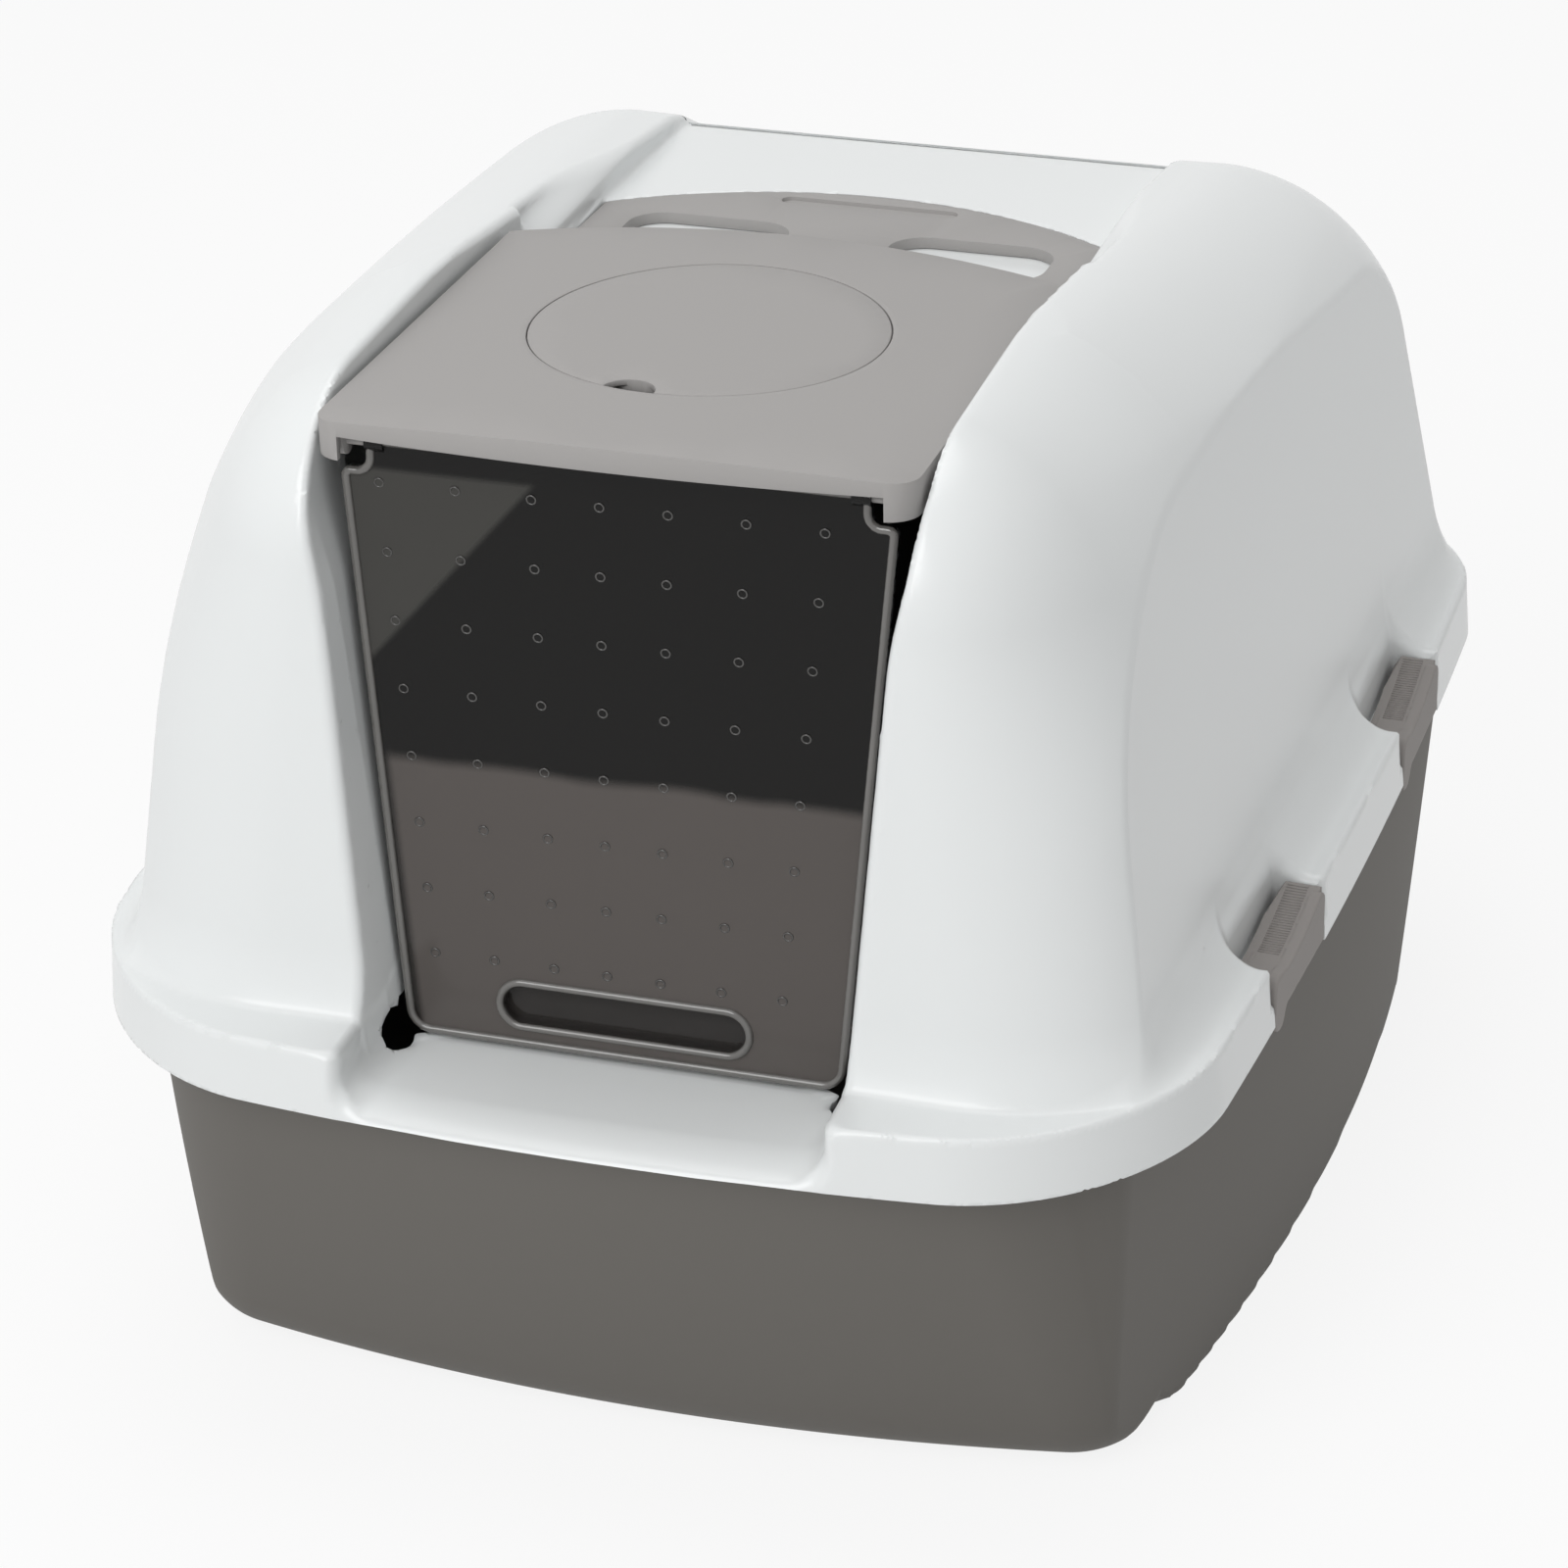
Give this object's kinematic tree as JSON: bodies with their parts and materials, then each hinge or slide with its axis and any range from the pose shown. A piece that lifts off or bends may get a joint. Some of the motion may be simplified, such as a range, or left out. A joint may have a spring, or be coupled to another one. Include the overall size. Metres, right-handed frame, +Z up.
{
  "type": "covered litter box",
  "caption": "Covered litter box: deep pan, rounded hood with a sunk channel, hinged lid with a round filter cover, see-through swing flap, folding carry handle and side latches.",
  "frame": {"origin": "on the floor, under the centre of the rim", "axes": "+X to the right side, front opening towards -Y, +Z up"},
  "size_m": [0.465, 0.5698, 0.411],
  "materials": {
    "hood_white": "smooth moulded polypropylene, soft satin gloss",
    "pan_grey": "fine matt moulded polypropylene, warm dark grey",
    "lid_grey": "fine matt moulded polypropylene, warm mid grey",
    "latch_grey": "smooth moulded polypropylene, warm grey",
    "flap_smoke": "polished clear plastic with a smoke tint",
    "carbon_felt": "matt black carbon felt"
  },
  "bodies": {
    "pan": {"base_pan": "pan_grey"},
    "hood": {"hood_shell": "hood_white"},
    "lid": {"top_lid": "lid_grey"},
    "flap": {"entry_flap": "flap_smoke"},
    "filter": {"filter_cover": "lid_grey", "filter_carbon_pad": "carbon_felt"},
    "handle": {"carry_handle": "lid_grey"},
    "front_right_latch": {"front_right_latch": "latch_grey"},
    "front_left_latch": {"front_left_latch": "latch_grey"},
    "rear_right_latch": {"rear_right_latch": "latch_grey"},
    "rear_left_latch": {"rear_left_latch": "latch_grey"}
  },
  "joints": [
    {"name": "hood_lift", "type": "slide", "parent": "pan", "child": "hood", "axis": [0, 0, 1], "range_m": [0, 0.25]},
    {"name": "lid_hinge", "type": "hinge", "parent": "hood", "child": "lid", "pos_m": [0, -0.014, 0.39], "axis": [-1, 0, 0], "range_deg": [0, 95]},
    {"name": "flap_hinge", "type": "hinge", "parent": "lid", "child": "flap", "pos_m": [0, -0.209, 0.3965], "axis": [1, 0, 0], "range_deg": [-45, 70]},
    {"name": "filter_cover_lift", "type": "slide", "parent": "lid", "child": "filter", "axis": [0, 0, 1], "range_m": [0, 0.06]},
    {"name": "handle_hinge", "type": "hinge", "parent": "hood", "child": "handle", "pos_m": [0, 0.018, 0.3776], "axis": [1, 0, 0], "range_deg": [0, 90]},
    {"name": "front_right_latch_hinge", "type": "hinge", "parent": "hood", "child": "front_right_latch", "pos_m": [0.21007, -0.0902, 0.1708], "axis": [-0.058, -0.9983, 0], "range_deg": [0, 30]},
    {"name": "front_left_latch_hinge", "type": "hinge", "parent": "hood", "child": "front_left_latch", "pos_m": [-0.21007, -0.0902, 0.1708], "axis": [-0.058, 0.9983, 0], "range_deg": [0, 30]},
    {"name": "rear_right_latch_hinge", "type": "hinge", "parent": "hood", "child": "rear_right_latch", "pos_m": [0.21676, 0.11112, 0.1708], "axis": [-0.0084, -1, 0], "range_deg": [0, 30]},
    {"name": "rear_left_latch_hinge", "type": "hinge", "parent": "hood", "child": "rear_left_latch", "pos_m": [-0.21676, 0.11112, 0.1708], "axis": [-0.0084, 1, 0], "range_deg": [0, 30]}
  ]
}
